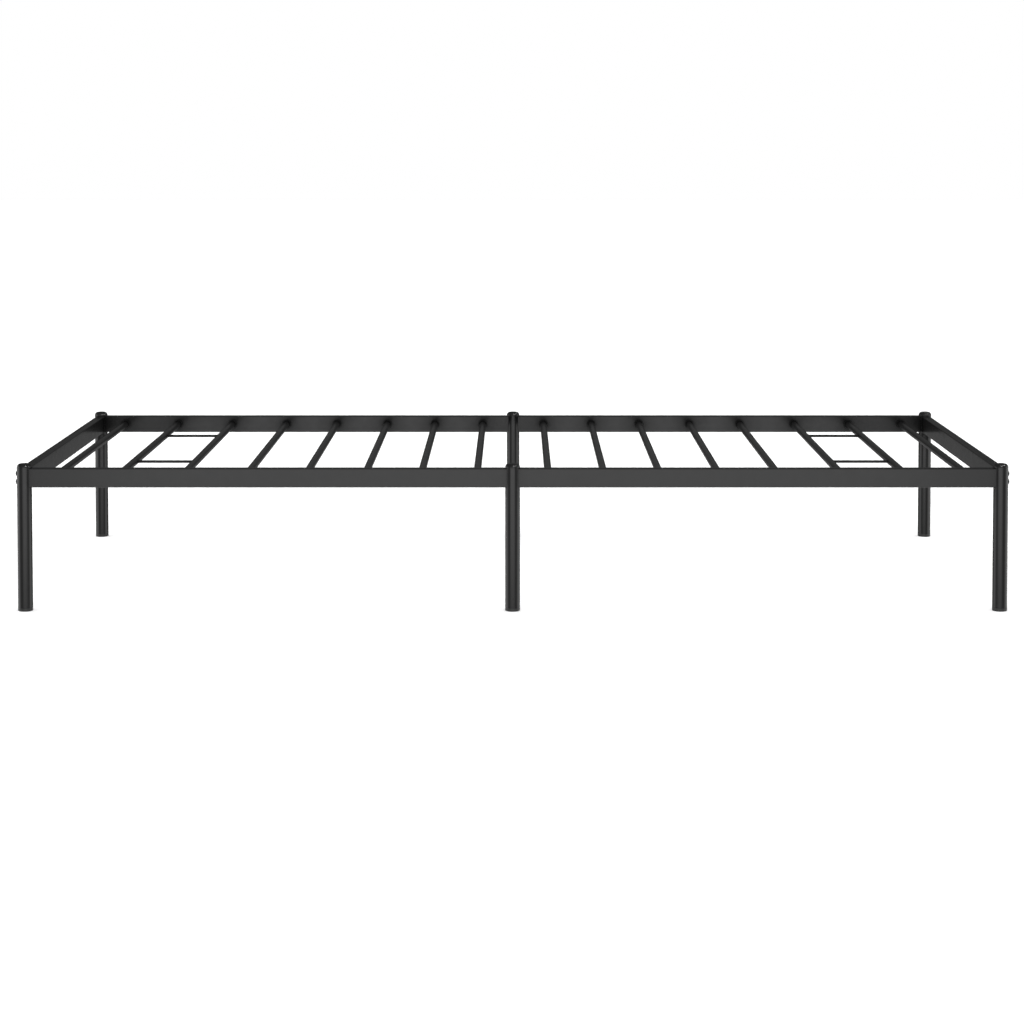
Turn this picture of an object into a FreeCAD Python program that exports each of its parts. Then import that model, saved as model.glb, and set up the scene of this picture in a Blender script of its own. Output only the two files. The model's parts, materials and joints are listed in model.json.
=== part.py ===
"""Metal bed frame for a 90 x 200 cm mattress.

A bolted and welded frame of steel tube. Six round legs carry four side-rail halves and two end rails of
rectangular tube, and sixteen round slats run across between the side rails.

Frame of the model: millimetres, +X along the bed's length, +Y from the front side rail to the back one,
+Z up. The origin is on the floor at the middle of the bed, so left is -X and front is -Y.
"""
import FreeCAD, Part
import os

import Sketcher
from FreeCAD import Placement, Rotation, Vector

# Driving dimensions in millimetres: alias, value, what it is.
DIMENSIONS = [
    ("leg_span_length", 2040, "between the axes of the corner legs, along the bed"),
    ("leg_span_width", 920, "between the axes of the corner legs, across the bed"),
    ("rail_top", 300, "height of the rails' and leg tubes' top edge above the floor"),
    ("rail_height", 40, "outside height of the rectangular rail tube"),
    ("rail_width", 20, "outside width of the rectangular rail tube"),
    ("rail_wall", 1.5, "wall of the rail tube"),
    ("rail_corner", 2, "outside corner radius of the rail tube"),
    ("leg_diameter", 31, "outside diameter of the round leg tube"),
    ("leg_wall", 1.5, "wall of the leg tube"),
    ("foot_height", 7, "height of the plastic foot below the leg tube"),
    ("foot_edge", 0.6, "chamfer round the underside of the foot"),
    ("foot_plug_length", 18, "how far the foot's plug reaches up into the leg tube"),
    ("foot_floor", 3, "thickness of the foot under its hollow plug"),
    ("cap_rim", 8, "height at which the top cap's side and dome would meet without their rounding"),
    ("cap_height", 10, "height of the top cap above the leg tube"),
    ("cap_edge_radius", 8, "rounding between the top cap's side and its dome"),
    ("cap_plug_length", 7, "how far the top cap's plug reaches down into the leg tube"),
    ("seam_chamfer", 0.4, "chamfer of feet and caps where they meet the leg tube"),
    ("plug_wall", 2, "wall of the hollow plugs of feet and caps"),
    ("plug_clearance", 0.1, "radial gap between a plug and the leg tube's bore"),
    ("slat_diameter", 16, "outside diameter of the round slat tube"),
    ("slat_wall", 1.2, "wall of the slat tube"),
    ("slat_gap_middle", 150, "between the two slats beside the middle legs"),
    ("slat_pitch_inner", 118, "between the next slats, twice"),
    ("slat_pitch_half", 124.5, "between the next slats, twice"),
    ("slat_pitch_outer", 134, "between the next slats, twice"),
    ("slat_pitch_last", 130, "between the last two slats at each end"),
    ("wire_diameter", 6, "diameter of the tie wires"),
    ("wire_spacing", 440, "between the front and the back tie wire of a pair"),
    ("bolt_diameter", 5.9, "diameter over the threads of the M6 bolts and screws"),
    ("tapped_diameter", 6, "diameter of the M6 tapped holes"),
    ("bolt_clearance_diameter", 6.6, "diameter of the plain holes for M6"),
    ("bolt_head_diameter", 10.5, "diameter of the domed button heads"),
    ("bolt_head_rim", 0.6, "height of the straight edge of a button head"),
    ("bolt_head_height", 2.5, "height of the button heads"),
    ("bolt_tip", 0.8, "chamfer at the tip of the bolts and screws"),
    ("bolt_spacing", 17, "between the two bolts of a corner, one above the other"),
    ("corner_bolt_length", 45, "length of the corner bolts below the head"),
    ("socket_flats", 4, "across the flats of the hexagon socket"),
    ("socket_depth", 1.6, "depth of the hexagon socket"),
    ("nut_plate_thickness", 5, "thickness of the tapped plate in a side rail's end"),
    ("nut_plate_setback", 20, "from the corner leg's axis to the tapped plate"),
    ("slide_clearance", 0.2, "gap all round a spigot inside a rail tube"),
    ("spigot_length", 60, "from the middle leg's axis to the end of its spigot"),
    ("spigot_wall", 3, "wall of the spigots"),
    ("screw_offset", 42, "from the middle leg's axis to the screw that holds a rail"),
    ("flat_head_diameter", 9.2, "diameter of the middle screws' flat heads"),
    ("middle_screw_length", 12, "length of the middle screws"),
]

# The pitches from the slat beside the middle legs outwards, which give eight slats in each half.
SLAT_PITCHES = [
    "slat_pitch_inner",
    "slat_pitch_inner",
    "slat_pitch_half",
    "slat_pitch_half",
    "slat_pitch_outer",
    "slat_pitch_outer",
    "slat_pitch_last",
]
SLATS_PER_HALF = len(SLAT_PITCHES) + 1
TIED_SLATS = (5, 6)  # counted from the middle, starting at 0: the pair that the tie wires join

ENDS = (("left", -1), ("right", 1))
SIDES = (("front", -1), ("back", 1))

# Sketcher's numbers for a sketch's own vertical axis, its origin and the points of a line or an arc.
VERTICAL_AXIS = -2
ORIGIN_POINT = (-1, 1)
START, END, CENTRE = 1, 2, 3

UP = Vector(0, 0, 1)
DOWN = Vector(0, 0, -1)
ALONG_LENGTH = Vector(1, 0, 0)
NEARLY_PARALLEL = 0.999  # least cosine between an edge and a direction that it is said to follow
SAME_PLACE = 1e-6  # millimetres within which two places or sizes count as the same


class Size:
    """A length in millimetres that knows both its number and the expression that gives it."""

    def __init__(self, value, text):
        self.value = value
        self.text = text

    @staticmethod
    def of(other):
        return other if isinstance(other, Size) else Size(float(other), str(float(other)))

    def joined(self, sign, other, value):
        return Size(value, f"({self.text} {sign} {other.text})")

    def __add__(self, other):
        other = Size.of(other)
        return self.joined("+", other, self.value + other.value)

    def __sub__(self, other):
        other = Size.of(other)
        return self.joined("-", other, self.value - other.value)

    def __mul__(self, other):
        other = Size.of(other)
        return self.joined("*", other, self.value * other.value)

    def __truediv__(self, other):
        other = Size.of(other)
        return self.joined("/", other, self.value / other.value)

    def __neg__(self):
        return self * -1


ZERO = Size.of(0)

doc = FreeCAD.newDocument("BedFrame")
sheet = doc.addObject("Spreadsheet::Sheet", "Dims")
for row, (alias, value, meaning) in enumerate(DIMENSIONS, start=1):
    sheet.set(f"A{row}", alias)
    sheet.set(f"B{row}", str(value))
    sheet.set(f"C{row}", meaning)
    sheet.setAlias(f"B{row}", alias)
doc.recompute()

DRIVING = {alias: Size(float(value), f"Dims.{alias}") for alias, value, _ in DIMENSIONS}


def dim(alias):
    """The driving dimension with this name."""
    return DRIVING[alias]


# Places that several sub-parts share.
LEG_RADIUS = dim("leg_diameter") / 2
END_X = dim("leg_span_length") / 2
SIDE_Y = dim("leg_span_width") / 2
RAIL_CENTRE_Z = dim("rail_top") - dim("rail_height") / 2
RAIL_BOTTOM_Z = dim("rail_top") - dim("rail_height")
PLUG_RADIUS = LEG_RADIUS - dim("leg_wall") - dim("plug_clearance")


def slat_offset(number):
    """Distance from the middle of the bed to a slat, which is counted outwards from 0."""
    offset = dim("slat_gap_middle") / 2
    for pitch in SLAT_PITCHES[:number]:
        offset = offset + dim(pitch)
    return offset


# ---- Sketches and features -------------------------------------------------------------------------


def new_body(name):
    """An empty body whose label names the sub-part."""
    body = doc.addObject("PartDesign::Body", name)
    body.Label = name
    return body


def new_sketch(body, role):
    """A sketch on one of the body's own origin planes, such as XY_Plane."""
    plane = next(feature for feature in body.Origin.OriginFeatures if feature.Role == role)
    sketch = body.newObject("Sketcher::SketchObject", f"{body.Name}_{role}_sketch")
    sketch.AttachmentSupport = [(plane, "")]
    sketch.MapMode = "FlatFace"
    return sketch


def bind_constraint(sketch, constraint, size):
    """Adds a dimension to a sketch and binds it to the spreadsheet."""
    index = sketch.addConstraint(constraint)
    sketch.setExpression(f"Constraints[{index}]", size.text)


def place_point(sketch, geometry, point, across, up):
    """Fixes a point of the sketch at a place measured from the sketch's origin."""
    for kind, size in (("DistanceX", across), ("DistanceY", up)):
        bind_constraint(sketch, Sketcher.Constraint(kind, *ORIGIN_POINT, geometry, point, size.value), size)


def add_circle(sketch, diameter, across=ZERO, up=ZERO):
    """Adds a circle of a given diameter."""
    centre = Vector(across.value, up.value, 0)
    circle = sketch.addGeometry(Part.Circle(centre, UP, diameter.value / 2), False)
    bind_constraint(sketch, Sketcher.Constraint("Diameter", circle, diameter.value), diameter)
    place_point(sketch, circle, CENTRE, across, up)


def dome_arc(start, end):
    """The arc from start to end whose centre is on the sketch's vertical axis, where end lies too."""
    centre_up = (end.y**2 - start.x**2 - start.y**2) / (2 * (end.y - start.y))
    circle = Part.Circle(Vector(0, centre_up, 0), UP, end.y - centre_up)
    return Part.ArcOfCircle(circle, circle.parameter(start), circle.parameter(end))


def add_outline(sketch, corners, dome_after=None):
    """Adds a closed outline through corners given as (across, up), counter-clockwise.

    The sides are straight, except for the one that follows corner dome_after, which is a dome's arc.
    """
    points = [Vector(across.value, up.value, 0) for across, up in corners]
    sides = []
    for number, start in enumerate(points):
        end = points[(number + 1) % len(points)]
        side = dome_arc(start, end) if number == dome_after else Part.LineSegment(start, end)
        sides.append(sketch.addGeometry(side, False))
    for number, side in enumerate(sides):
        sketch.addConstraint(Sketcher.Constraint("Coincident", sides[number - 1], END, side, START))
        place_point(sketch, side, START, *corners[number])
    if dome_after is not None:
        arc = sides[dome_after]
        sketch.addConstraint(Sketcher.Constraint("PointOnObject", arc, CENTRE, VERTICAL_AXIS))


def add_rectangle(sketch, width, height):
    """Adds a rectangle centred on the sketch's origin."""
    across, up = width / 2, height / 2
    add_outline(sketch, [(-across, -up), (across, -up), (across, up), (-across, up)])


def pad(body, sketch, length, symmetric=True):
    """Extrudes a sketch by a length, both ways from its plane or along its normal."""
    feature = body.newObject("PartDesign::Pad", f"{body.Name}_pad")
    feature.Profile = sketch
    feature.SideType = "Symmetric" if symmetric else "One side"
    feature.setExpression("Length", length.text)
    doc.recompute()
    return feature


def cut_through(body, sketch, symmetric=True):
    """Cuts a sketch through the body, both ways or against its normal, and checks that it removes some."""
    before = body.Shape.Volume
    feature = body.newObject("PartDesign::Pocket", f"{body.Name}_cut")
    feature.Profile = sketch
    feature.Type = "ThroughAll"
    feature.SideType = "Symmetric" if symmetric else "One side"
    doc.recompute()
    if body.Shape.Volume >= before:
        raise RuntimeError(f"{body.Label}: {feature.Name} removes nothing")
    return feature


def revolve(body, sketch):
    """Turns a sketch's outline a full circle about the sketch's vertical axis."""
    feature = body.newObject("PartDesign::Revolution", f"{body.Name}_revolution")
    feature.Profile = sketch
    feature.ReferenceAxis = (sketch, ["V_Axis"])
    feature.Angle = 360
    doc.recompute()
    return feature


def runs_along(edge, direction):
    """True if an edge is straight and runs along a direction."""
    along = edge.tangentAt(edge.FirstParameter)
    return isinstance(edge.Curve, Part.Line) and abs(along.dot(direction)) > NEARLY_PARALLEL


def is_ring(edge, radius, across, up):
    """True if an edge is a circle of a given radius whose centre is at (across, 0, up)."""
    if edge.Degenerated or not isinstance(edge.Curve, Part.Circle):
        return False
    apart = edge.Curve.Center - Vector(across.value, 0, up.value)
    return apart.Length < SAME_PLACE and abs(edge.Curve.Radius - radius.value) < SAME_PLACE


def dress_edges(kind, body, feature, is_chosen):
    """Adds a fillet or a chamfer on the edges of a feature that the test is_chosen picks."""
    edges = enumerate(feature.Shape.Edges, start=1)
    names = [f"Edge{number}" for number, edge in edges if is_chosen(edge)]
    if not names:
        raise RuntimeError(f"{body.Label}: there is no edge for the {kind}")
    dressing = body.newObject(f"PartDesign::{kind}", f"{body.Name}_{kind}")
    dressing.Base = (feature, names)
    return dressing


def round_edges(body, feature, is_chosen, radius):
    """Rounds the edges of a feature that the test is_chosen picks."""
    fillet = dress_edges("Fillet", body, feature, is_chosen)
    fillet.setExpression("Radius", radius.text)
    doc.recompute()


def bevel_edges(body, feature, is_chosen, size):
    """Bevels the edges of a feature that the test is_chosen picks, at 45 degrees."""
    chamfer = dress_edges("Chamfer", body, feature, is_chosen)
    chamfer.setExpression("Size", size.text)
    doc.recompute()


def place(piece, position, rotation=Rotation()):
    """Turns a sub-part and puts it at (x, y, z), and binds its place to the spreadsheet."""
    piece.Placement = Placement(Vector(*[size.value for size in position]), rotation)
    for axis, size in zip("xyz", position):
        piece.setExpression(f"Placement.Base.{axis}", size.text)


# ---- Legs, caps and feet ---------------------------------------------------------------------------


def make_leg(name, has_bolt_holes):
    """A round leg tube that stands on its foot and ends level with the rails' top edge."""
    body = new_body(name)
    ring = new_sketch(body, "XY_Plane")
    add_circle(ring, dim("leg_diameter"))
    add_circle(ring, dim("leg_diameter") - dim("leg_wall") * 2)
    ring.setExpression("AttachmentOffset.Base.z", dim("foot_height").text)
    pad(body, ring, dim("rail_top") - dim("foot_height"), symmetric=False)
    if has_bolt_holes:
        holes = new_sketch(body, "YZ_Plane")
        for level in (-1, 1):
            height = RAIL_CENTRE_Z + dim("bolt_spacing") / 2 * level
            add_circle(holes, dim("bolt_clearance_diameter"), up=height)
        cut_through(body, holes)
    return body


def make_cap(name):
    """A domed plastic cap with a hollow plug that presses into the top of a leg tube."""
    body = new_body(name)
    hollow_radius = PLUG_RADIUS - dim("plug_wall")
    outline = new_sketch(body, "XZ_Plane")
    corners = [
        (ZERO, ZERO),
        (hollow_radius, ZERO),
        (hollow_radius, -dim("cap_plug_length")),
        (PLUG_RADIUS, -dim("cap_plug_length")),
        (PLUG_RADIUS, ZERO),
        (LEG_RADIUS - dim("seam_chamfer"), ZERO),
        (LEG_RADIUS, dim("seam_chamfer")),
        (LEG_RADIUS, dim("cap_rim")),
        (ZERO, dim("cap_height")),
    ]
    add_outline(outline, corners, dome_after=7)
    dome = revolve(body, outline)
    rim = (LEG_RADIUS, ZERO, dim("cap_rim"))
    round_edges(body, dome, lambda edge: is_ring(edge, *rim), dim("cap_edge_radius"))
    return body


def make_foot(name):
    """A plastic foot with a hollow plug that presses into the bottom of a leg tube."""
    body = new_body(name)
    hollow_radius = PLUG_RADIUS - dim("plug_wall")
    plug_top = dim("foot_height") + dim("foot_plug_length")
    outline = new_sketch(body, "XZ_Plane")
    corners = [
        (ZERO, ZERO),
        (LEG_RADIUS - dim("foot_edge"), ZERO),
        (LEG_RADIUS, dim("foot_edge")),
        (LEG_RADIUS, dim("foot_height") - dim("seam_chamfer")),
        (LEG_RADIUS - dim("seam_chamfer"), dim("foot_height")),
        (PLUG_RADIUS, dim("foot_height")),
        (PLUG_RADIUS, plug_top),
        (hollow_radius, plug_top),
        (hollow_radius, dim("foot_floor")),
        (ZERO, dim("foot_floor")),
    ]
    add_outline(outline, corners)
    revolve(body, outline)
    return body


def make_legs():
    """Four corner legs and two middle legs, each with its cap and foot."""
    pieces = []
    stations = (*[(name, END_X * sign) for name, sign in ENDS], ("middle", ZERO))
    for side, side_sign in SIDES:
        y = SIDE_Y * side_sign
        for station, x in stations:
            leg = make_leg(f"leg_{side}_{station}", has_bolt_holes=station != "middle")
            place(leg, (x, y, ZERO))
            cap = make_cap(f"cap_{side}_{station}")
            place(cap, (x, y, dim("rail_top")))
            foot = make_foot(f"foot_{side}_{station}")
            place(foot, (x, y, ZERO))
            pieces += [leg, cap, foot]
    return pieces


# ---- Rails -----------------------------------------------------------------------------------------


def make_rail(name, span):
    """A rectangular tube along X whose two ends are coped to fit round legs a span apart."""
    body = new_body(name)
    section = new_sketch(body, "YZ_Plane")
    add_rectangle(section, dim("rail_width"), dim("rail_height"))
    bar = pad(body, section, span)
    round_edges(body, bar, lambda edge: runs_along(edge, ALONG_LENGTH), dim("rail_corner"))
    bore = new_sketch(body, "YZ_Plane")
    wall = dim("rail_wall") * 2
    add_rectangle(bore, dim("rail_width") - wall, dim("rail_height") - wall)
    cut_through(body, bore)
    copes = new_sketch(body, "XY_Plane")
    for sign in (-1, 1):
        add_circle(copes, dim("leg_diameter"), across=span / 2 * sign)
    cut_through(body, copes)
    return body


def make_side_rails():
    """Two halves on each side, from a corner leg to the middle leg, with a countersunk hole underneath."""
    span = END_X
    hole_radius = dim("bolt_clearance_diameter") / 2
    countersink = dim("flat_head_diameter") / 2 - hole_radius
    pieces = []
    for side, side_sign in SIDES:
        for end, end_sign in ENDS:
            rail = make_rail(f"side_rail_{side}_{end}", span)
            screw_hole = new_sketch(rail, "XY_Plane")
            to_middle = (span / 2 - dim("screw_offset")) * -end_sign
            add_circle(screw_hole, dim("bolt_clearance_diameter"), across=to_middle)
            hole = cut_through(rail, screw_hole, symmetric=False)
            mouth = (hole_radius, to_middle, -dim("rail_height") / 2)
            bevel_edges(rail, hole, lambda edge: is_ring(edge, *mouth), countersink)
            place(rail, (span / 2 * end_sign, SIDE_Y * side_sign, RAIL_CENTRE_Z))
            pieces.append(rail)
    return pieces


def make_end_rails():
    """The two rails across the bed, each welded between two corner legs."""
    pieces = []
    for end, end_sign in ENDS:
        rail = make_rail(f"end_rail_{end}", dim("leg_span_width"))
        place(rail, (END_X * end_sign, ZERO, RAIL_CENTRE_Z), Rotation(UP, 90))
        pieces.append(rail)
    return pieces


# ---- Slats and tie wires ---------------------------------------------------------------------------


def make_slat(name):
    """A round tube across the bed, as long as the clear width between the side rails."""
    body = new_body(name)
    ring = new_sketch(body, "XZ_Plane")
    add_circle(ring, dim("slat_diameter"))
    add_circle(ring, dim("slat_diameter") - dim("slat_wall") * 2)
    pad(body, ring, dim("leg_span_width") - dim("rail_width"))
    return body


def make_slats():
    """Sixteen slats, numbered from the left end, welded at the middle of the side rails' height."""
    from_middle = range(SLATS_PER_HALF)
    places = [-slat_offset(number) for number in reversed(from_middle)]
    places += [slat_offset(number) for number in from_middle]
    pieces = []
    for number, x in enumerate(places, start=1):
        slat = make_slat(f"slat_{number:02d}")
        place(slat, (x, ZERO, RAIL_CENTRE_Z))
        pieces.append(slat)
    return pieces


def make_tie_wires():
    """Four short wires, two in each half, welded between two neighbouring slats."""
    inner, outer = [slat_offset(number) for number in TIED_SLATS]
    gap = outer - inner
    pieces = []
    for side, side_sign in SIDES:
        for end, end_sign in ENDS:
            body = new_body(f"tie_wire_{side}_{end}")
            section = new_sketch(body, "YZ_Plane")
            add_circle(section, dim("wire_diameter"))
            pad(body, section, gap)
            copes = new_sketch(body, "XZ_Plane")
            for sign in (-1, 1):
                add_circle(copes, dim("slat_diameter"), across=gap / 2 * sign)
            cut_through(body, copes)
            x = (inner + outer) / 2 * end_sign
            y = dim("wire_spacing") / 2 * side_sign
            place(body, (x, y, RAIL_CENTRE_Z))
            pieces.append(body)
    return pieces


# ---- Fasteners and hidden joints -------------------------------------------------------------------


def shank_corners(length):
    """The outline of a screw's tip, from its axis to its full radius, for a tip at a depth below zero."""
    radius = dim("bolt_diameter") / 2
    return [
        (ZERO, -length),
        (radius - dim("bolt_tip"), -length),
        (radius, dim("bolt_tip") - length),
    ]


def make_screw(name, outline_corners, dome_after, head_top, direction, position):
    """A turned screw with a hexagon socket in its head, which points along a direction."""
    form = new_body(f"{name}_form")
    outline = new_sketch(form, "XZ_Plane")
    add_outline(outline, outline_corners, dome_after)
    revolve(form, outline)
    socket = doc.addObject("Part::Prism", f"{name}_socket")
    socket.Polygon = 6
    socket.setExpression("Circumradius", f"{dim('socket_flats').text} / 2 / cos(30 deg)")
    socket.setExpression("Height", dim("bolt_head_height").text)
    socket.setExpression("Placement.Base.z", (head_top - dim("socket_depth")).text)
    screw = doc.addObject("Part::Cut", name)
    screw.Base = form
    screw.Tool = socket
    place(screw, position, Rotation(UP, direction))
    return screw


def make_button_bolt(name, direction, position):
    """A corner bolt with a domed head, whose underside is at the position."""
    corners = shank_corners(dim("corner_bolt_length"))
    head_radius = dim("bolt_head_diameter") / 2
    corners += [
        (dim("bolt_diameter") / 2, ZERO),
        (head_radius, ZERO),
        (head_radius, dim("bolt_head_rim")),
        (ZERO, dim("bolt_head_height")),
    ]
    rim_corner = len(corners) - 2
    return make_screw(name, corners, rim_corner, dim("bolt_head_height"), direction, position)


def make_flat_screw(name, direction, position):
    """A screw with a flat conical head, whose face is at the position."""
    corners = shank_corners(dim("middle_screw_length"))
    shank_radius = dim("bolt_diameter") / 2
    head_radius = dim("flat_head_diameter") / 2
    corners += [
        (shank_radius, shank_radius - head_radius),
        (head_radius, ZERO),
        (ZERO, ZERO),
    ]
    return make_screw(name, corners, None, ZERO, direction, position)


def group(name, pieces):
    """One sub-part that holds identical fasteners as separate solids."""
    compound = doc.addObject("Part::Compound", name)
    compound.Label = name
    compound.Links = pieces
    return compound


def make_corner_bolts():
    """Two bolts at each corner, through the leg from outside into the plate in the side rail's end."""
    pieces = []
    for side, side_sign in SIDES:
        for end, end_sign in ENDS:
            name = f"corner_bolts_{side}_{end}"
            x = (END_X + LEG_RADIUS) * end_sign
            y = SIDE_Y * side_sign
            outwards = ALONG_LENGTH * end_sign
            bolts = []
            for level_name, level in (("lower", -1), ("upper", 1)):
                z = RAIL_CENTRE_Z + dim("bolt_spacing") / 2 * level
                bolts.append(make_button_bolt(f"{name}_{level_name}", outwards, (x, y, z)))
            pieces.append(group(name, bolts))
    return pieces


def make_nut_plates():
    """A tapped plate welded across each side rail's outer end, which the corner bolts pull on."""
    width = dim("rail_width") - dim("rail_wall") * 2
    height = dim("rail_height") - dim("rail_wall") * 2
    pieces = []
    for side, side_sign in SIDES:
        for end, end_sign in ENDS:
            body = new_body(f"nut_plate_{side}_{end}")
            section = new_sketch(body, "YZ_Plane")
            add_rectangle(section, width, height)
            pad(body, section, dim("nut_plate_thickness"))
            holes = new_sketch(body, "YZ_Plane")
            for level in (-1, 1):
                add_circle(holes, dim("tapped_diameter"), up=dim("bolt_spacing") / 2 * level)
            cut_through(body, holes)
            from_leg = dim("nut_plate_setback") + dim("nut_plate_thickness") / 2
            place(body, ((END_X - from_leg) * end_sign, SIDE_Y * side_sign, RAIL_CENTRE_Z))
            pieces.append(body)
    return pieces


def make_spigots():
    """Short tubes welded to the middle legs, one that slides into each side-rail half."""
    rail_wall_and_gap = (dim("rail_wall") + dim("slide_clearance")) * 2
    width = dim("rail_width") - rail_wall_and_gap
    height = dim("rail_height") - rail_wall_and_gap
    wall = dim("spigot_wall") * 2
    pieces = []
    for side, side_sign in SIDES:
        for end, end_sign in ENDS:
            body = new_body(f"middle_spigot_{side}_{end}")
            section = new_sketch(body, "YZ_Plane")
            add_rectangle(section, width, height)
            pad(body, section, dim("spigot_length"))
            bore = new_sketch(body, "YZ_Plane")
            add_rectangle(bore, width - wall, height - wall)
            cut_through(body, bore)
            cope = new_sketch(body, "XY_Plane")
            add_circle(cope, dim("leg_diameter"), across=dim("spigot_length") / 2 * -end_sign)
            cut_through(body, cope)
            tapped = new_sketch(body, "XY_Plane")
            to_screw = (dim("screw_offset") - dim("spigot_length") / 2) * end_sign
            add_circle(tapped, dim("tapped_diameter"), across=to_screw)
            cut_through(body, tapped, symmetric=False)
            place(body, (dim("spigot_length") / 2 * end_sign, SIDE_Y * side_sign, RAIL_CENTRE_Z))
            pieces.append(body)
    return pieces


def make_middle_screws():
    """Two screws under each middle joint, flush with the rails and up into the spigots."""
    pieces = []
    for side, side_sign in SIDES:
        name = f"middle_screws_{side}"
        screws = []
        for end, end_sign in ENDS:
            position = (dim("screw_offset") * end_sign, SIDE_Y * side_sign, RAIL_BOTTOM_Z)
            screws.append(make_flat_screw(f"{name}_{end}", DOWN, position))
        pieces.append(group(name, screws))
    return pieces


# ---- Build, check and write ------------------------------------------------------------------------


def check_document():
    """Stops the script if any object of the document failed."""
    for item in doc.Objects:
        if "Invalid" in item.State or "Error" in item.State:
            raise RuntimeError(f"{item.Label} failed: {item.State}")


def check_piece(piece):
    """Stops the script if a sub-part has no sound shape."""
    if piece.Shape.isNull() or not piece.Shape.isValid() or piece.Shape.Volume <= 0:
        raise RuntimeError(f"{piece.Label} has no valid shape")


def build():
    """Makes every sub-part of the bed frame."""
    pieces = make_legs()
    pieces += make_side_rails()
    pieces += make_end_rails()
    pieces += make_slats()
    pieces += make_tie_wires()
    pieces += make_corner_bolts()
    pieces += make_nut_plates()
    pieces += make_spigots()
    pieces += make_middle_screws()
    return pieces


def main():
    os.makedirs("parts", exist_ok=True)
    pieces = build()
    doc.recompute()
    check_document()
    for piece in pieces:
        check_piece(piece)
    for piece in pieces:
        piece.Shape.exportStep(f"parts/{piece.Label}.step")
    print(f"{len(pieces)} sub-parts written")


main()
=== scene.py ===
"""Looks of the metal bed frame.

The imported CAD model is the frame. It keeps its shape, and this script gives it its materials, adds the weld
beads, and sets up the floor, the light and the camera. Everything is in metres, in the frame's own axes: +X
along the bed, +Y from the front side rail to the back one, +Z up from the floor.
"""
import json
import math
import random

import bmesh
import bpy
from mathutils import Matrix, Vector


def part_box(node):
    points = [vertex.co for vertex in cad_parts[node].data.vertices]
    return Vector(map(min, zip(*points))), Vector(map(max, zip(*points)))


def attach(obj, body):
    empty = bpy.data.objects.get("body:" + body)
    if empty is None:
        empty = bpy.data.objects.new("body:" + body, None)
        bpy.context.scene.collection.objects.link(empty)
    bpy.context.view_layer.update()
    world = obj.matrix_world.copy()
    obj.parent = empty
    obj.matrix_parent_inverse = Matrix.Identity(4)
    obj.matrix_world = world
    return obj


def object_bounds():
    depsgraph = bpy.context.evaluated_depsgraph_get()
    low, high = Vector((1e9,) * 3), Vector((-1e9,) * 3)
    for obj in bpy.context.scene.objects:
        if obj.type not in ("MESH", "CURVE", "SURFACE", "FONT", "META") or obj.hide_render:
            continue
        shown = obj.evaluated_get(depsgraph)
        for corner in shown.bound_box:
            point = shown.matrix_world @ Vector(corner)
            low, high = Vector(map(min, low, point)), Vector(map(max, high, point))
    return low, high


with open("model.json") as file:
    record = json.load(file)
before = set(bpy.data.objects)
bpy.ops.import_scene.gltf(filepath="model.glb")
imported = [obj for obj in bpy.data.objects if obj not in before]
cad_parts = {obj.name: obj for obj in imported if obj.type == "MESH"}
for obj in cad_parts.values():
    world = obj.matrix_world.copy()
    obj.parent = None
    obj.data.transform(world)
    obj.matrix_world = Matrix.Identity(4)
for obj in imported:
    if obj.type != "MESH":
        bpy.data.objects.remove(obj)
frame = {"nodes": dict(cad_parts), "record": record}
cad_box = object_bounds()

MM = 0.001
ROOT = "root"  # the one body: nothing on the bed frame moves

ENDS = (("left", -1), ("right", 1))
SIDES = (("front", -1), ("back", 1))


# ---- Sizes, read from the frame --------------------------------------------------------------------


def centre_of(node):
    """The middle of a CAD node's box."""
    low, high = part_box(node)
    return (low + high) / 2


def size_of(node):
    """The three sides of a CAD node's box."""
    low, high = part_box(node)
    return high - low


SLATS = sorted(name for name in frame["nodes"] if name.startswith("slat_"))
SLAT_RADIUS = size_of("slat_01").z / 2
WIRE_RADIUS = size_of("tie_wire_front_left").z / 2
LEG_RADIUS = size_of("leg_front_left").x / 2
RAIL_WIDTH = size_of("end_rail_left").x
RAIL_CORNER = 2 * MM  # radius of a rail's rounded corners


# ---- Materials -------------------------------------------------------------------------------------


NOISE_LOW, NOISE_HIGH = 0.3, 0.7  # most of a noise lies between these values
SHADING_SAMPLES = 4

# Painted shade near other pieces, which takes the gloss away where they close the coat in: how far it
# reaches, and the openness where the gloss is gone and where it is whole.
PAINTED_SHADE_REACH = 50 * MM
PAINTED_SHADE_SHUT, PAINTED_SHADE_OPEN = 0.64, 0.92
FULL_GLOSS = 0.5

# The rubbed coat: how far it reaches from an edge, how alike the rounded and the plain normal are on an edge
# and on a face, and how worn the least worn patches are.
WEAR_WIDTH = 1.5 * MM
EDGE_SHARP, EDGE_FLAT = 0.90, 0.995
LEAST_WEAR = 0.15
RUBBED_COAT = (0.022, 0.022, 0.023, 1)

# The coat's greys, and the directions in which its clouds can be drawn out.
COAT_DARK, COAT_LIGHT = 0.0015, 0.0040
ALONG_BED = (0.15, 1, 1)
ACROSS_BED = (1, 0.15, 1)
UPRIGHT = (1, 1, 0.15)

DRAWING_LINES = (0.02, 1, 1)  # how the lines of the zinc-plated steel are drawn out
COOL = 1.03  # how much blue a cool grey has, where its red and green are 1


def add_node(tree, kind, inputs=None, **settings):
    """Adds a node, sets its settings, and feeds its inputs with plain values or other nodes' outputs."""
    node = tree.nodes.new(kind)
    for name, value in settings.items():
        setattr(node, name, value)
    for name, value in (inputs or {}).items():
        if isinstance(value, bpy.types.NodeSocket):
            tree.links.new(value, node.inputs[name])
        else:
            node.inputs[name].default_value = value
    return node


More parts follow.
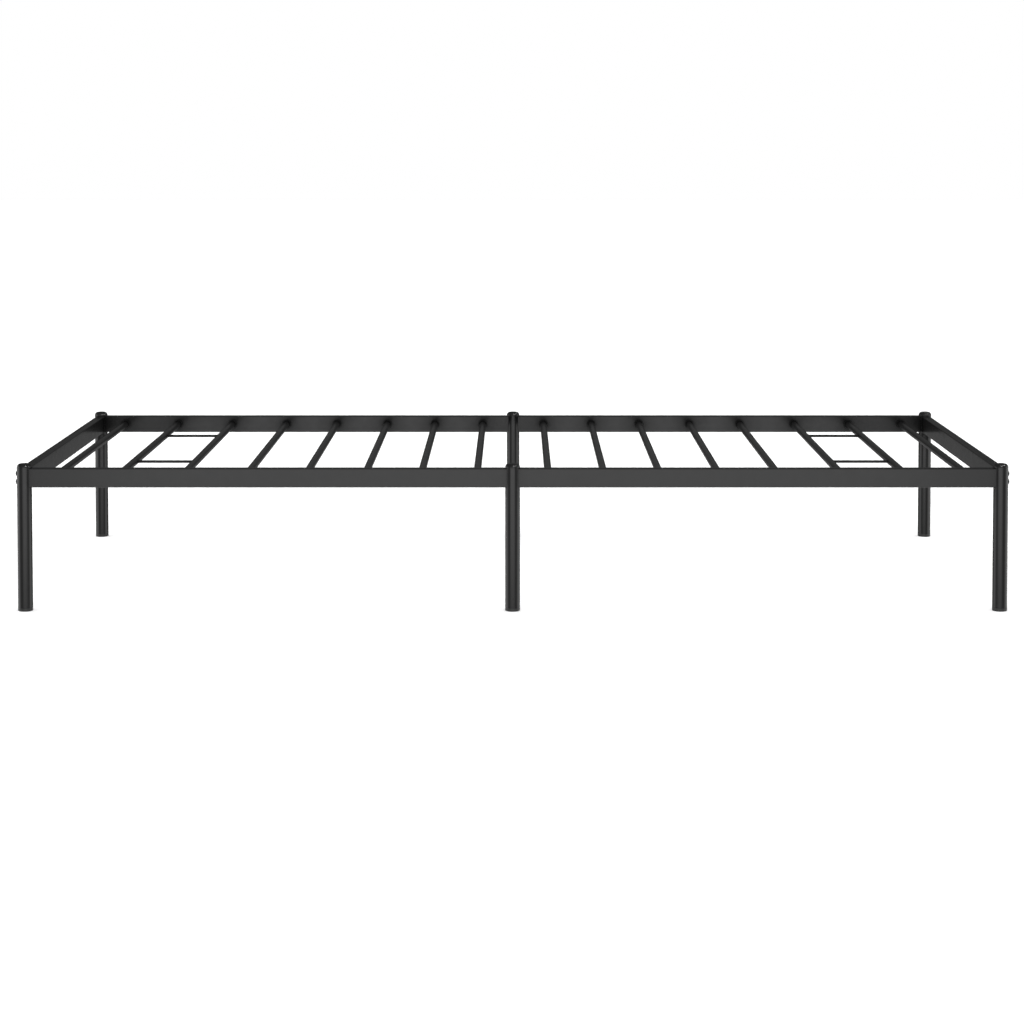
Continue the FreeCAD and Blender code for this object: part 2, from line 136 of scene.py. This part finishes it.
def new_material(name):
    """An empty node material with its Principled shader."""
    material = bpy.data.materials.new(name)
    material.use_nodes = True
    tree = material.node_tree
    tree.nodes.clear()
    shader = add_node(tree, "ShaderNodeBsdfPrincipled")
    output = add_node(tree, "ShaderNodeOutputMaterial")
    tree.links.new(shader.outputs["BSDF"], output.inputs["Surface"])
    return material, tree, shader


def noise(tree, scale, detail=2.0, roughness=0.5, stretch=None):
    """Noise over the object. scale is in cells per metre, and stretch below 1 draws it out along an axis."""
    place = add_node(tree, "ShaderNodeTexCoord").outputs["Object"]
    if stretch:
        place = add_node(tree, "ShaderNodeMapping", {"Vector": place, "Scale": stretch}).outputs["Vector"]
    inputs = {"Vector": place, "Scale": scale, "Detail": detail, "Roughness": roughness}
    return add_node(tree, "ShaderNodeTexNoise", inputs).outputs["Fac"]


def spread(tree, value, low, high, from_low=NOISE_LOW, from_high=NOISE_HIGH):
    """Maps a value, mostly of a noise, to a range."""
    inputs = {"Value": value, "From Min": from_low, "From Max": from_high, "To Min": low, "To Max": high}
    return add_node(tree, "ShaderNodeMapRange", inputs).outputs["Result"]


def greys(tree, value, dark, light, blue=1.0):
    """Maps a noise value to a grey between a dark and a light one. A blue above 1 makes both cooler."""
    ramp = add_node(tree, "ShaderNodeValToRGB", {"Fac": value})
    dark_stop, light_stop = ramp.color_ramp.elements
    dark_stop.position, light_stop.position = NOISE_LOW, NOISE_HIGH
    dark_stop.color = (dark, dark, dark * blue, 1)
    light_stop.color = (light, light, light * blue, 1)
    return ramp.outputs["Color"]


def bump(tree, height, depth, normal=None):
    """A bump of a given depth in metres, on top of another one if normal is given."""
    inputs = {"Height": height, "Distance": depth}
    if normal:
        inputs["Normal"] = normal
    return add_node(tree, "ShaderNodeBump", inputs).outputs["Normal"]


def finish_surface(tree, shader, colour, roughness, normal):
    """Links the three things that vary over every surface."""
    tree.links.new(colour, shader.inputs["Base Color"])
    tree.links.new(roughness, shader.inputs["Roughness"])
    tree.links.new(normal, shader.inputs["Normal"])


def paint_corner_shade(tree, shader):
    """Painted shade: fades the gloss close to other pieces and in corners, so that the coat looks darker
    there.
    """
    inputs = {"Distance": PAINTED_SHADE_REACH}
    openness = add_node(tree, "ShaderNodeAmbientOcclusion", inputs, samples=SHADING_SAMPLES).outputs["AO"]
    # Painted shade: the less open the spot, the less gloss.
    gloss = spread(tree, openness, 0, FULL_GLOSS, from_low=PAINTED_SHADE_SHUT, from_high=PAINTED_SHADE_OPEN)
    tree.links.new(gloss, shader.inputs["Specular IOR Level"])


def edge_wear(tree):
    """How worn the coat is, from 0 on flat faces to 1 along edges, in patches."""
    inputs = {"Radius": WEAR_WIDTH}
    rounded = add_node(tree, "ShaderNodeBevel", inputs, samples=SHADING_SAMPLES).outputs["Normal"]
    plain = add_node(tree, "ShaderNodeNewGeometry").outputs["Normal"]
    alike = add_node(tree, "ShaderNodeVectorMath", {0: rounded, 1: plain}, operation="DOT_PRODUCT")
    edge = spread(tree, alike.outputs["Value"], 1, 0, from_low=EDGE_SHARP, from_high=EDGE_FLAT)
    patches = spread(tree, noise(tree, scale=35, detail=6, roughness=0.65), LEAST_WEAR, 1)
    return add_node(tree, "ShaderNodeMath", {0: edge, 1: patches}, operation="MULTIPLY").outputs["Value"]


def powder_coat(name, stretch):
    """Semi-gloss black powder coat: orange peel, fine grain, clouds of tone and gloss, and rubbed edges."""
    material, tree, shader = new_material(name)
    # Painted shade: the coat's gloss fades near other pieces and in corners.
    paint_corner_shade(tree, shader)
    clouds = noise(tree, scale=9, detail=5, roughness=0.6, stretch=stretch)
    coat = greys(tree, clouds, COAT_DARK, COAT_LIGHT, blue=COOL)
    rubbed = {"Color1": coat, "Color2": RUBBED_COAT, "Fac": edge_wear(tree)}
    colour = add_node(tree, "ShaderNodeMixRGB", rubbed).outputs["Color"]
    roughness = spread(tree, noise(tree, scale=60, detail=6), low=0.17, high=0.23)
    peel = bump(tree, noise(tree, scale=480, detail=1), depth=0.04 * MM)
    grain = bump(tree, noise(tree, scale=2600, detail=2), depth=0.006 * MM, normal=peel)
    finish_surface(tree, shader, colour, roughness, grain)
    return material


def gloss_plastic(name):
    """Glossy moulded black plastic with faint flow marks."""
    material, tree, shader = new_material(name)
    colour = greys(tree, noise(tree, scale=90, detail=4, roughness=0.55), dark=0.002, light=0.004)
    roughness = spread(tree, noise(tree, scale=240, detail=5), low=0.13, high=0.21)
    flow = bump(tree, noise(tree, scale=150, detail=1), depth=0.03 * MM)
    finish_surface(tree, shader, colour, roughness, flow)
    return material


def satin_plastic(name):
    """Satin moulded black plastic with a fine spark-eroded grain."""
    material, tree, shader = new_material(name)
    colour = greys(tree, noise(tree, scale=70, detail=5), dark=0.011, light=0.018)
    roughness = spread(tree, noise(tree, scale=300, detail=4), low=0.34, high=0.46)
    grain = bump(tree, noise(tree, scale=3000, detail=2), depth=0.02 * MM)
    finish_surface(tree, shader, colour, roughness, grain)
    return material


def black_steel(name):
    """Black-coated screws: a thin dark conversion coat on steel, slightly cloudy."""
    material, tree, shader = new_material(name)
    colour = greys(tree, noise(tree, scale=400, detail=5, roughness=0.6), dark=0.030, light=0.054)
    roughness = spread(tree, noise(tree, scale=900, detail=4), low=0.28, high=0.42)
    grain = bump(tree, noise(tree, scale=1800, detail=2), depth=0.01 * MM)
    finish_surface(tree, shader, colour, roughness, grain)
    shader.inputs["Metallic"].default_value = 0.6
    return material


def zinc_steel(name):
    """Bare zinc-plated steel: grey, with a fine crystalline mottle and drawing lines."""
    material, tree, shader = new_material(name)
    mottle = noise(tree, scale=260, detail=6, roughness=0.65)
    colour = greys(tree, mottle, dark=0.34, light=0.50, blue=COOL)
    lines = noise(tree, scale=1400, detail=2, stretch=DRAWING_LINES)
    roughness = spread(tree, lines, low=0.26, high=0.44)
    finish_surface(tree, shader, colour, roughness, bump(tree, lines, depth=0.01 * MM))
    shader.inputs["Metallic"].default_value = 1.0
    return material


def weld_paint(name):
    """The black coat over a weld, where it is rougher, with painted shade that dulls its gloss next to the
    pieces it joins.
    """
    material, tree, shader = new_material(name)
    # Painted shade: the weld's gloss fades next to the slats, wires, rails and legs.
    paint_corner_shade(tree, shader)
    colour = greys(tree, noise(tree, scale=500, detail=4), dark=0.001, light=0.003)
    roughness = spread(tree, noise(tree, scale=900, detail=3), low=0.38, high=0.52)
    grain = bump(tree, noise(tree, scale=1100, detail=3), depth=0.06 * MM)
    finish_surface(tree, shader, colour, roughness, grain)
    return material


MATERIALS = {
    "leg_paint": powder_coat("leg_powder_coat", UPRIGHT),
    "rail_paint": powder_coat("rail_powder_coat", ALONG_BED),
    "slat_paint": powder_coat("slat_powder_coat", ACROSS_BED),
    "cap_plastic": gloss_plastic("cap_gloss_plastic"),
    "foot_plastic": satin_plastic("foot_satin_plastic"),
    "bolt_steel": black_steel("black_screw_steel"),
    "hidden_steel": zinc_steel("zinc_plated_steel"),
}
WELD_MATERIAL = weld_paint("weld_powder_coat")


def paint_frame():
    """Gives every CAD node the material of its slot in the record."""
    slots = {part["node"]: part["material_slot"] for part in frame["record"]["subparts"]}
    for name, node in frame["nodes"].items():
        for material_slot in node.material_slots:
            material_slot.link = "OBJECT"
            material_slot.material = MATERIALS[slots[name]]


# ---- Weld beads ------------------------------------------------------------------------------------

BEAD_POINTS = 6  # points on the bulging outside of a bead's section
BEAD_BURIED = 0.35  # how far the section's inner corner lies inside the two pieces, in bead sizes
RIPPLE_FOOT, RIPPLE_RISE = 0.86, 0.22  # size between two ripples, and its growth on one, in bead sizes
RIPPLE_DRIFT = 0.15  # how much ripples differ from each other
BEAD_END = 0.35  # size of an open bead's ends, in bead sizes
BEAD_TAPER = 2  # length over which an open bead thins towards its ends, in bead sizes

# Bead size and ripple length of each kind of weld.
SLAT_BEAD, SLAT_RIPPLE = 2.1 * MM, 3.4 * MM
WIRE_BEAD, WIRE_RIPPLE = 1.3 * MM, 2.6 * MM
RAIL_BEAD, RAIL_RIPPLE = 2.8 * MM, 3.2 * MM

# Steps along the beads' paths.
SLAT_STEPS = 80
WIRE_STEPS = 48
RAIL_SIDE_STEPS = 16
RAIL_BOTTOM_STEPS = 10
RAIL_CORNER_STEPS = 6


def shares(count):
    """Even steps from 0 towards 1."""
    return [step / count for step in range(count)]


def bead_section(place, along_a, along_b, size):
    """The points of a bead's section, which bulges between two surfaces that meet at a place.

    along_a and along_b point away from the joint along the two surfaces.
    """
    points = [place - (along_a + along_b) * size * BEAD_BURIED]
    for step in range(BEAD_POINTS):
        angle = math.pi / 2 * step / (BEAD_POINTS - 1)
        points.append(place + (along_a * math.cos(angle) + along_b * math.sin(angle)) * size)
    return points


def sweep_bead(mesh, path, size, ripple_length, closed, rng):
    """Adds a bead along a path of (place, along_a, along_b), with the ripples that welding leaves."""
    lengths = [0.0]
    for (start, _, _), (end, _, _) in zip(path, path[1:]):
        lengths.append(lengths[-1] + (end - start).length)
    total = lengths[-1]
    if closed:
        total += (path[0][0] - path[-1][0]).length
    ripples = max(1, round(total / ripple_length))
    phase = rng.random()
    drift = [rng.uniform(1 - RIPPLE_DRIFT, 1 + RIPPLE_DRIFT) for _ in range(ripples + 1)]
    rings = []
    for (place, along_a, along_b), length in zip(path, lengths):
        turn = (length / total * ripples + phase) % ripples
        scale = RIPPLE_FOOT + RIPPLE_RISE * math.sqrt(abs(math.sin(math.pi * (turn % 1))))
        scale *= drift[int(turn)]
        if not closed:
            from_end = min(length, total - length)
            scale *= BEAD_END + (1 - BEAD_END) * min(1.0, from_end / (BEAD_TAPER * size))
        points = bead_section(place, along_a, along_b, size * scale)
        rings.append([mesh.verts.new(point) for point in points])
    pairs = list(zip(rings, rings[1:]))
    if closed:
        pairs.append((rings[-1], rings[0]))
    else:
        mesh.faces.new(rings[0])
        mesh.faces.new(rings[-1])
    for ring, following in pairs:
        for number in range(len(ring)):
            before = number - 1
            face = mesh.faces.new((ring[before], ring[number], following[number], following[before]))
            face.smooth = True


def finish_beads(name, mesh):
    """Makes the beads one piece that rides on the bed frame."""
    bmesh.ops.recalc_face_normals(mesh, faces=mesh.faces)
    data = bpy.data.meshes.new(name)
    mesh.to_mesh(data)
    mesh.free()
    data.materials.append(WELD_MATERIAL)
    piece = bpy.data.objects.new(name, data)
    bpy.context.scene.collection.objects.link(piece)
    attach(piece, ROOT)


def weld_slats(side, side_sign):
    """A bead round each slat where it meets a side rail."""
    rng = random.Random(side)
    mesh = bmesh.new()
    for slat in SLATS:
        low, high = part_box(slat)
        centre = (low + high) / 2
        centre.y = high.y if side_sign > 0 else low.y
        along_slat = Vector((0, -side_sign, 0))
        path = []
        for share in shares(SLAT_STEPS):
            angle = 2 * math.pi * share
            outward = Vector((math.cos(angle), 0, math.sin(angle)))
            path.append((centre + outward * SLAT_RADIUS, outward, along_slat))
        sweep_bead(mesh, path, SLAT_BEAD, SLAT_RIPPLE, closed=True, rng=rng)
    finish_beads(f"slat_welds_{side}", mesh)


def wire_end(end_x, inward, centre):
    """The line where a tie wire's end meets a slat. inward is 1 or -1, from the slat along the wire.

    The end is coped round the slat, so the wire's box ends where its top and bottom touch the slat.
    """
    slat_x = end_x - inward * math.sqrt(SLAT_RADIUS**2 - WIRE_RADIUS**2)
    path = []
    for share in shares(WIRE_STEPS):
        angle = 2 * math.pi * share
        outward = Vector((0, math.cos(angle), math.sin(angle)))
        height = WIRE_RADIUS * outward.z
        from_slat = inward * math.sqrt(SLAT_RADIUS**2 - height**2)
        place = Vector((slat_x + from_slat, centre.y, centre.z)) + outward * WIRE_RADIUS
        slat_normal = Vector((from_slat, 0, height)).normalized()
        along_slat = (outward - slat_normal * outward.dot(slat_normal)).normalized()
        path.append((place, along_slat, Vector((inward, 0, 0))))
    return path


def weld_wires(side):
    """A small bead round each end of the tie wires, where they meet the slats."""
    rng = random.Random(side + "wire")
    mesh = bmesh.new()
    for end, _ in ENDS:
        low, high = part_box(f"tie_wire_{side}_{end}")
        for end_x, inward in ((low.x, 1), (high.x, -1)):
            path = wire_end(end_x, inward, (low + high) / 2)
            sweep_bead(mesh, path, WIRE_BEAD, WIRE_RIPPLE, closed=True, rng=rng)
    finish_beads(f"tie_wire_welds_{side}", mesh)


def rail_corner(x, z, start):
    """Points (x, z, outward) of a quarter turn round a rail's rounded corner, from an angle in degrees."""
    points = []
    for share in shares(RAIL_CORNER_STEPS):
        angle = math.radians(start + 90 * share)
        outward = Vector((math.cos(angle), 0, math.sin(angle)))
        points.append((x + RAIL_CORNER * outward.x, z + RAIL_CORNER * outward.z, outward))
    return points


def rail_outline(low, high):
    """Points (x, z, outward) round an end rail: down one side, along the bottom and up the other side.

    x counts from the rail's middle, and outward is the direction that the rail's surface faces.
    """
    side = RAIL_WIDTH / 2
    inner = side - RAIL_CORNER
    top, bottom = high.z - RAIL_CORNER, low.z + RAIL_CORNER
    left, down, right = Vector((-1, 0, 0)), Vector((0, 0, -1)), Vector((1, 0, 0))
    points = [(-side, top + (bottom - top) * share, left) for share in shares(RAIL_SIDE_STEPS)]
    points += rail_corner(-inner, bottom, start=180)
    points += [(inner * (2 * share - 1), low.z, down) for share in shares(RAIL_BOTTOM_STEPS)]
    points += rail_corner(inner, bottom, start=270)
    points += [(side, bottom + (top - bottom) * share, right) for share in shares(RAIL_SIDE_STEPS)]
    points.append((side, top, right))
    return points


def weld_end_rail(end):
    """The beads that join an end rail to its two corner legs. The rail's top stays clear for the mattress."""
    rng = random.Random(end + "rail")
    mesh = bmesh.new()
    low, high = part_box(f"end_rail_{end}")
    for side, side_sign in SIDES:
        leg = centre_of(f"leg_{side}_{end}")
        path = []
        for x, z, outward in rail_outline(low, high):
            depth = math.sqrt(LEG_RADIUS**2 - x**2)
            place = Vector((leg.x + x, leg.y - side_sign * depth, z))
            leg_normal = Vector((x, -side_sign * depth, 0)).normalized()
            along_leg = (outward - leg_normal * outward.dot(leg_normal)).normalized()
            path.append((place, along_leg, Vector((0, -side_sign, 0))))
        sweep_bead(mesh, path, RAIL_BEAD, RAIL_RIPPLE, closed=False, rng=rng)
    finish_beads(f"end_rail_welds_{end}", mesh)


# ---- Studio ----------------------------------------------------------------------------------------


FLOOR_SIZE = 60
FLOOR_GREY = (0.9, 0.9, 0.9, 1)
FLOOR_GLOW = 0.15  # keeps the floor as white as the backdrop


def add_floor():
    """A plain white floor that only the camera sees, so that the light round the bed frame stays even."""
    mesh = bmesh.new()
    bmesh.ops.create_grid(mesh, x_segments=1, y_segments=1, size=FLOOR_SIZE / 2)
    data = bpy.data.meshes.new("studio_floor")
    mesh.to_mesh(data)
    mesh.free()
    material, _, shader = new_material("studio_floor_paper")
    shader.inputs["Base Color"].default_value = FLOOR_GREY
    shader.inputs["Roughness"].default_value = 1.0
    shader.inputs["Specular IOR Level"].default_value = 0.0
    shader.inputs["Emission Color"].default_value = (1, 1, 1, 1)
    shader.inputs["Emission Strength"].default_value = FLOOR_GLOW
    data.materials.append(material)
    floor = bpy.data.objects.new("studio_floor", data)
    bpy.context.scene.collection.objects.link(floor)
    for kind in ("diffuse", "glossy", "transmission", "shadow"):
        setattr(floor, f"visible_{kind}", False)


# Soft lights at infinity: name, azimuth, elevation, half-angle of the full light, half-angle where it ends,
# and brightness. Angles are in degrees. Azimuth 0 is in front of the bed frame, and 90 is at the right.
SOFT_LIGHTS = [
    ("front", 0, -8, 66, 84, 0.40),
    ("left", -110, -8, 30, 60, 0.25),
    ("right", 110, -8, 30, 60, 0.25),
    ("back_left", -168, -8, 4, 11, 0.15),
    ("back_right", 168, -8, 4, 11, 0.15),
    ("back_top", 180, 7, 5, 14, 0.07),
    ("overhead", 0, 90, 14, 66, 0.26),
    ("below", 0, -90, 64, 79, 0.90),
]
AMBIENT = 0.06

# Soft panels round the bed frame. Each is a few rectangles one behind the other, so that its light fades
# towards its edges: length, height, height of the lower edge above the floor, and brightness.
FRONT_PANELS = [
    (2.6, 1.10, -0.32, 0.45),
    (3.6, 1.30, -0.46, 0.45),
    (4.6, 1.50, -0.60, 0.40),
]
SIDE_PANELS = [
    (2.9, 2.4, -1.2, 0.60),
    (3.7, 2.6, -1.3, 0.50),
]
FRONT_PANEL_DISTANCE = 2.4
SIDE_PANEL_DISTANCE = 2.3
SIDE_PANEL_MIDDLE = 0.5  # how far behind the bed's middle the side panels are centred
PANEL_STEP = 0.05  # from one rectangle to the next

# The overhead light: the angle it comes from, in degrees, which makes its shadows soft, and its power.
OVERHEAD_SPREAD = 70
OVERHEAD_POWER = math.pi

# Small square lamps for the highlights on the caps' edges: name, azimuth and elevation in degrees.
HIGHLIGHTS = [
    ("highlight_front", 20, 50),
    ("highlight_side", 84, 50),
]
HIGHLIGHT_DISTANCE = 5
HIGHLIGHT_SIZE = 0.6
HIGHLIGHT_BRIGHTNESS = 60

CAMERA_ASIDE = 0.0069  # to the right of the bed's middle
CAMERA_AHEAD = 4.9044  # in front of the frame
CAMERA_HEIGHT = 0.9967
CAMERA_PITCH = 2.702  # degrees downwards
CAMERA_LENS = 83.27  # focal length and sensor width, in millimetres
CAMERA_SENSOR = 36
CAMERA_SHIFT = (-0.0038, -0.26)  # in picture widths, which brings the frame to the middle of the picture


def toward(azimuth, elevation):
    """The direction with this azimuth and elevation, in degrees."""
    turn, rise = math.radians(azimuth), math.radians(elevation)
    return Vector((math.sin(turn) * math.cos(rise), -math.cos(turn) * math.cos(rise), math.sin(rise)))


def add_world():
    """The studio: white to the camera, and soft lights round the bed frame to everything else."""
    world = bpy.data.worlds.new("studio")
    bpy.context.scene.world = world
    world.use_nodes = True
    tree = world.node_tree
    tree.nodes.clear()
    direction = add_node(tree, "ShaderNodeTexCoord").outputs["Generated"]
    total = None
    for _, azimuth, elevation, full, end, brightness in SOFT_LIGHTS:
        inputs = {0: direction, 1: toward(azimuth, elevation)}
        dot = add_node(tree, "ShaderNodeVectorMath", inputs, operation="DOT_PRODUCT")
        inputs = {
            "Value": dot.outputs["Value"],
            "From Min": math.cos(math.radians(end)),
            "From Max": math.cos(math.radians(full)),
            "To Min": 0.0,
            "To Max": brightness,
        }
        lobe = add_node(tree, "ShaderNodeMapRange", inputs, interpolation_type="SMOOTHSTEP").outputs["Result"]
        added = add_node(tree, "ShaderNodeMath", {0: lobe, 1: AMBIENT if total is None else total})
        total = added.outputs["Value"]
    lights = add_node(tree, "ShaderNodeBackground", {"Strength": total})
    backdrop = add_node(tree, "ShaderNodeBackground", {"Color": (1, 1, 1, 1), "Strength": 1.0})
    seen = add_node(tree, "ShaderNodeLightPath").outputs["Is Camera Ray"]
    mixed = add_node(tree, "ShaderNodeMixShader", {0: seen, 1: lights.outputs[0], 2: backdrop.outputs[0]})
    output = add_node(tree, "ShaderNodeOutputWorld")
    tree.links.new(mixed.outputs[0], output.inputs["Surface"])


def add_area_light(name, location, look_along, width, height, radiance):
    """A rectangular soft light that the camera doesn't see."""
    light = bpy.data.lights.new(name, "AREA")
    light.shape = "RECTANGLE"
    light.size, light.size_y = width, height
    light.energy = radiance * math.pi * width * height
    lamp = bpy.data.objects.new(name, light)
    lamp.location = location
    lamp.rotation_euler = Vector(look_along).to_track_quat("-Z", "Y").to_euler()
    lamp.visible_camera = False
    bpy.context.scene.collection.objects.link(lamp)
    return lamp


def add_panels():
    """The soft panels whose reflections make the front faces grey and draw light strips on the legs."""
    low, high = cad_box
    for number, (length, height, lower_edge, radiance) in enumerate(FRONT_PANELS):
        y = low.y - FRONT_PANEL_DISTANCE - PANEL_STEP * number
        place = (0, y, lower_edge + height / 2)
        add_area_light(f"front_panel_{number}", place, (0, 1, 0), length, height, radiance)
    for number, (length, height, lower_edge, radiance) in enumerate(SIDE_PANELS):
        for end, sign in ENDS:
            x = (high.x + SIDE_PANEL_DISTANCE + PANEL_STEP * number) * sign
            place = (x, SIDE_PANEL_MIDDLE, lower_edge + height / 2)
            add_area_light(f"{end}_panel_{number}", place, (-sign, 0, 0), length, height, radiance)


def add_overhead_light():
    """Even light from above for the floor, with soft shadows. The gloss of the coat doesn't show it."""
    light = bpy.data.lights.new("overhead_light", "SUN")
    light.angle = math.radians(OVERHEAD_SPREAD)
    light.energy = OVERHEAD_POWER
    lamp = bpy.data.objects.new("overhead_light", light)
    lamp.visible_glossy = False
    lamp.visible_camera = False
    bpy.context.scene.collection.objects.link(lamp)


def add_highlights():
    """The small lamps, all aimed at the middle of the bed. Only the caps receive their light."""
    caps = bpy.data.collections.new("caps")
    for name, node in frame["nodes"].items():
        if name.startswith("cap_"):
            caps.objects.link(node)
    for name, azimuth, elevation in HIGHLIGHTS:
        away = toward(azimuth, elevation)
        place = away * HIGHLIGHT_DISTANCE
        lamp = add_area_light(name, place, -away, HIGHLIGHT_SIZE, HIGHLIGHT_SIZE, HIGHLIGHT_BRIGHTNESS)
        lamp.light_linking.receiver_collection = caps


def add_camera():
    """The photograph's view: from the front, a metre up, with a long lens."""
    data = bpy.data.cameras.new("camera")
    data.lens = CAMERA_LENS
    data.sensor_width = CAMERA_SENSOR
    data.shift_x, data.shift_y = CAMERA_SHIFT
    data.dof.use_dof = False
    camera = bpy.data.objects.new("camera", data)
    camera.location = (CAMERA_ASIDE, cad_box[0].y - CAMERA_AHEAD, CAMERA_HEIGHT)
    camera.rotation_euler = (math.radians(90 - CAMERA_PITCH), 0, 0)
    bpy.context.scene.collection.objects.link(camera)
    bpy.context.scene.camera = camera


# ---- Assembly --------------------------------------------------------------------------------------

paint_frame()
for side, side_sign in SIDES:
    weld_slats(side, side_sign)
    weld_wires(side)
for end, _ in ENDS:
    weld_end_rail(end)

bpy.context.scene.view_settings.view_transform = "Standard"
add_world()
add_floor()
add_panels()
add_overhead_light()
add_highlights()
add_camera()
